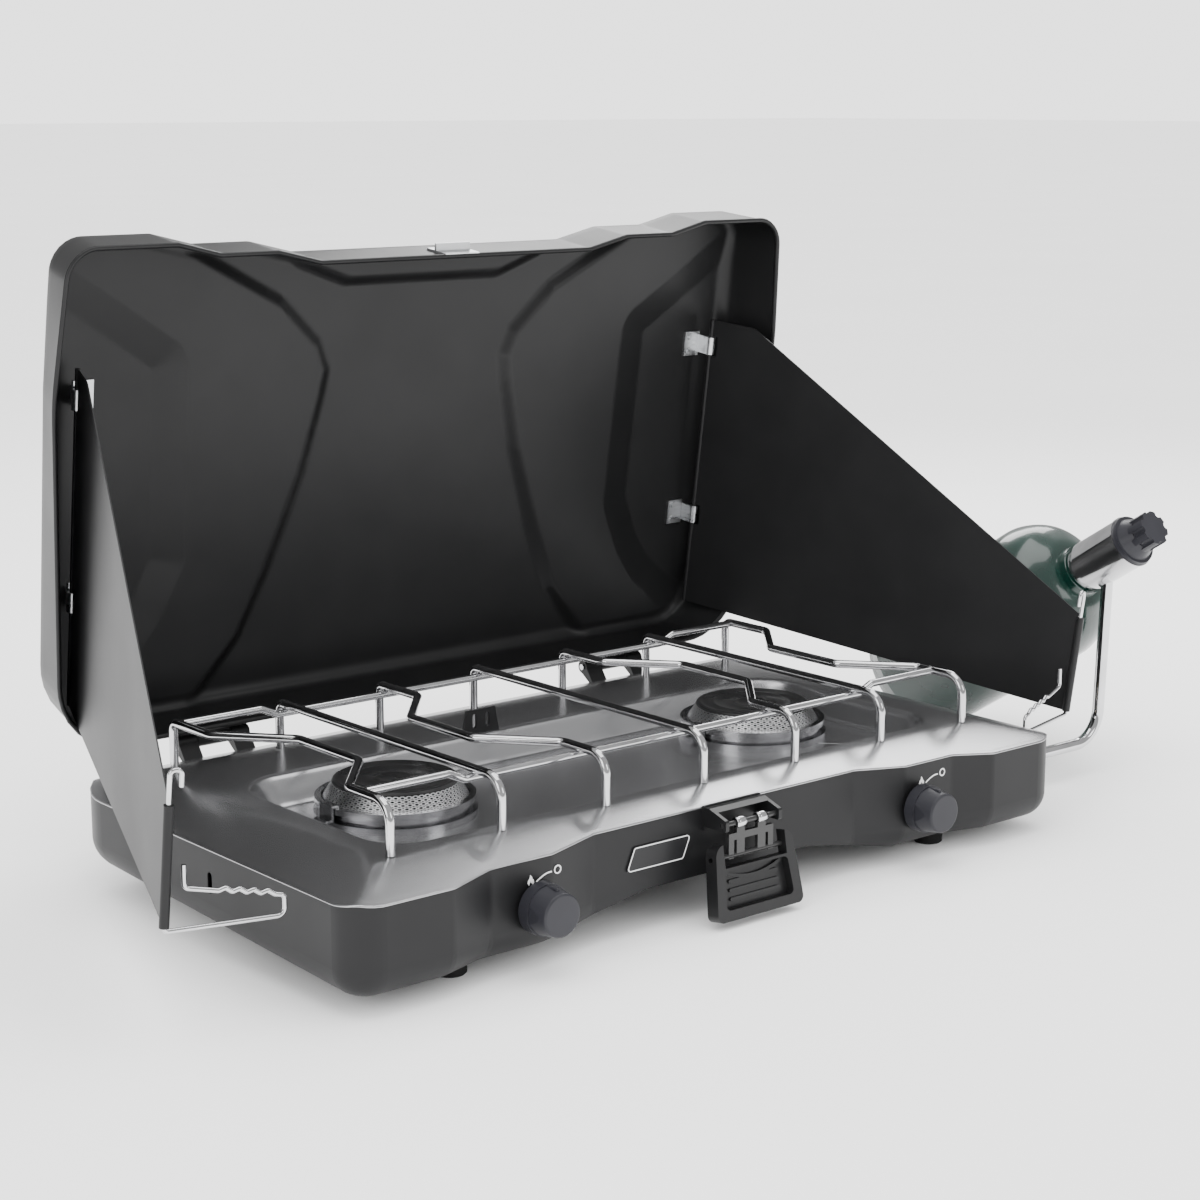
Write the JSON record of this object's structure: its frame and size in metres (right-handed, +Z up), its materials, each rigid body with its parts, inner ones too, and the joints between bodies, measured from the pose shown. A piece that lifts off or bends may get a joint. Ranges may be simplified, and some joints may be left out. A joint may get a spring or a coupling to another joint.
{
  "type": "camp stove",
  "caption": "Folding propane camp stove with burners under a wire grate, an open lid with side windscreens, and a gas cylinder on a swivelling regulator arm.",
  "frame": {"origin": "middle of the cooking grate, dropped to the plane under the rubber feet", "axes": "+X to the stove's right, where the gas cylinder is, +Y to its back, where the lid is hinged, +Z up"},
  "size_m": [0.7886, 0.3589, 0.3778],
  "materials": {
    "case_paint": "satin black",
    "cooktop_paint": "gloss black",
    "lid_paint": "satin black",
    "screen_paint": "satin black",
    "chrome": "polished",
    "steel": "brushed",
    "brass": "satin",
    "knob_plastic": "satin",
    "latch_plastic": "satin",
    "rubber": "matte",
    "badge": "satin",
    "gas_green": "gloss green",
    "base_ring_grey": "satin"
  },
  "bodies": {
    "case": {"case_shell": "case_paint", "cooktop": "cooktop_paint", "rubber_foot_1": "rubber", "rubber_foot_2": "rubber", "rubber_foot_3": "rubber", "rubber_foot_4": "rubber", "burner_bowl_left": "chrome", "burner_bowl_right": "chrome", "burner_mesh_left": "chrome", "burner_mesh_right": "chrome", "burner_cap_left": "screen_paint", "burner_cap_right": "screen_paint", "venturi_tube_left": "steel", "venturi_tube_right": "steel", "gas_valve_left": "brass", "gas_valve_right": "brass", "base_hinge_left": "screen_paint", "base_hinge_right": "screen_paint", "burner_clips": "chrome", "hinge_pins": "steel", "gas_manifold": "steel", "inlet_fitting": "brass", "badge_plate": "badge", "regulator_clip": "screen_paint", "latch_mount": "latch_plastic", "hinge_rivets": "steel"},
    "lid": {"lid_shell": "lid_paint", "lid_catch": "chrome", "bracket_rivets": "steel", "lid_hinge_left": "screen_paint", "lid_hinge_right": "screen_paint", "windscreen_brackets_left": "steel", "windscreen_brackets_right": "steel"},
    "screen_left": {"windscreen_left": "screen_paint"},
    "screen_right": {"windscreen_right": "screen_paint"},
    "prop_left": {"prop_wire_left": "chrome"},
    "prop_right": {"prop_wire_right": "chrome"},
    "control_left": {"knob_left": "knob_plastic", "valve_stem_left": "steel"},
    "control_right": {"knob_right": "knob_plastic", "valve_stem_right": "steel"},
    "regulator_arm": {"regulator_tube": "chrome", "inlet_nut": "chrome", "regulator_body": "chrome", "regulator_ring": "chrome", "regulator_cap": "knob_plastic"},
    "gas_cylinder": {"cylinder_body": "gas_green", "cylinder_valve": "chrome", "cylinder_base_ring": "base_ring_grey"},
    "link": {"latch_link": "chrome"},
    "handle": {"latch_handle": "latch_plastic"},
    "grate": {"grate_wire_1": "chrome", "grate_wire_2": "chrome", "grate_wire_3": "chrome", "grate_wire_4": "chrome", "grate_wire_5": "chrome", "grate_wire_6": "chrome", "grate_wire_7": "chrome", "grate_rail_front": "chrome", "grate_rail_rear": "chrome"}
  },
  "joints": [
    {"name": "lid_hinge", "type": "hinge", "parent": "case", "child": "lid", "pos_m": [0, 0.166, 0.0685], "axis": [-1, 0, 0], "range_deg": [-6, 20]},
    {"name": "windscreen_left_hinge", "type": "hinge", "parent": "lid", "child": "screen_left", "pos_m": [-0.245, 0.1679, 0.22024], "axis": [0, -0.1392, 0.9903], "range_deg": [0, 12]},
    {"name": "windscreen_right_hinge", "type": "hinge", "parent": "lid", "child": "screen_right", "pos_m": [0.245, 0.1679, 0.22024], "axis": [0, 0.1392, -0.9903], "range_deg": [0, 12]},
    {"name": "prop_left_swivel", "type": "hinge", "parent": "screen_left", "child": "prop_left", "pos_m": [-0.34072, -0.09346, 0.08253], "axis": [0, 0.1392, -0.9903], "range_deg": [0, 84]},
    {"name": "prop_right_swivel", "type": "hinge", "parent": "screen_right", "child": "prop_right", "pos_m": [0.34072, -0.09346, 0.08253], "axis": [0, -0.1392, 0.9903], "range_deg": [0, 84]},
    {"name": "knob_left_turn", "type": "hinge", "parent": "case", "child": "control_left", "pos_m": [-0.146, -0.15, 0.0355], "axis": [0, -1, 0], "range_deg": [0, 150]},
    {"name": "knob_right_turn", "type": "hinge", "parent": "case", "child": "control_right", "pos_m": [0.146, -0.15, 0.0355], "axis": [0, -1, 0], "range_deg": [0, 150]},
    {"name": "regulator_arm_swivel", "type": "hinge", "parent": "case", "child": "regulator_arm", "pos_m": [0.262, -0.0715, 0.021], "axis": [1, 0, 0], "range_deg": [0, 60]},
    {"name": "cylinder_screw", "type": "hinge", "parent": "regulator_arm", "child": "gas_cylinder", "pos_m": [0.396, -0.07626, 0.15091], "axis": [0, -0.8434, 0.5373], "continuous": true},
    {"name": "latch_link_pivot", "type": "hinge", "parent": "case", "child": "link", "pos_m": [0, -0.146, 0.057], "axis": [-1, 0, 0], "range_deg": [0, 110]},
    {"name": "latch_handle_pivot", "type": "hinge", "parent": "link", "child": "handle", "pos_m": [0, -0.146, 0.0385], "axis": [-1, 0, 0], "range_deg": [0, 45]},
    {"name": "grate_lift", "type": "slide", "parent": "case", "child": "grate", "axis": [0, 0, 1], "range_m": [0, 0.08]}
  ],
  "couplings": [
    {"joint": "prop_left_swivel", "follows": "windscreen_left_hinge", "ratio": 7},
    {"joint": "prop_right_swivel", "follows": "windscreen_right_hinge", "ratio": 7}
  ]
}
